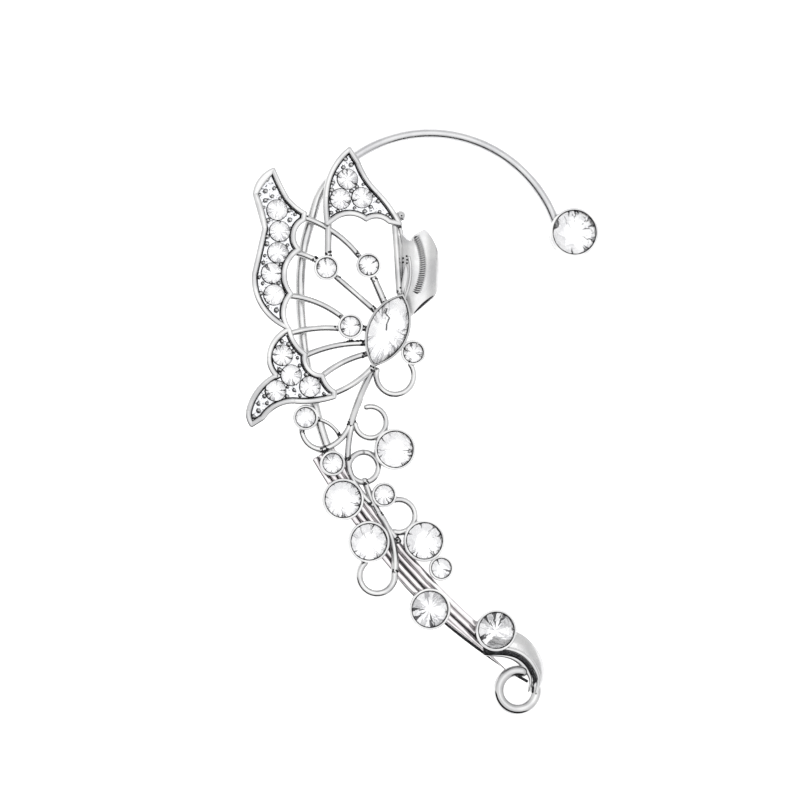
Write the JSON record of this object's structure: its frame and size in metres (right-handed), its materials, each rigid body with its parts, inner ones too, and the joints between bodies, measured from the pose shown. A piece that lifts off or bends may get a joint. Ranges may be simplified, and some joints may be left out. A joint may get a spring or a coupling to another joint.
{
  "type": "ear cuff",
  "caption": "Butterfly ear cuff: a plated cast frame with a wire hook over the ear, a clip on its rim and a curled spray below, set with clear cut stones.",
  "frame": {"origin": "on the surface the cuff lies on, under the middle of its box", "axes": "+Z out of the cuff's front, +Y from the tail curl towards the top of the ear loop, +X from the wings towards the end of the ear hook"},
  "size_m": [0.0482, 0.0792, 0.0059],
  "materials": {
    "plated_metal": "bright rhodium-tone plating, dark in the grooves",
    "clear_stone": "clear faceted glass with a foil back"
  },
  "bodies": {
    "root": {"metal_frame": "plated_metal", "stone_body_marquise": "clear_stone", "stone_head": "clear_stone", "stone_hook_end": "clear_stone", "stone_forewing_1": "clear_stone", "stone_forewing_2": "clear_stone", "stone_forewing_3": "clear_stone", "stone_forewing_4": "clear_stone", "stone_forewing_5": "clear_stone", "stone_farwing_1": "clear_stone", "stone_farwing_2": "clear_stone", "stone_farwing_3": "clear_stone", "stone_hindwing_1": "clear_stone", "stone_hindwing_2": "clear_stone", "stone_hindwing_3": "clear_stone", "stone_hindwing_4": "clear_stone", "stone_rib_1": "clear_stone", "stone_rib_2": "clear_stone", "stone_rib_3": "clear_stone", "stone_spray_1": "clear_stone", "stone_spray_2": "clear_stone", "stone_spray_3": "clear_stone", "stone_spray_4": "clear_stone", "stone_spray_5": "clear_stone", "stone_spray_6": "clear_stone", "stone_spray_7": "clear_stone", "stone_spray_8": "clear_stone", "stone_spray_9": "clear_stone", "stone_spray_10": "clear_stone"}
  },
  "joints": []
}
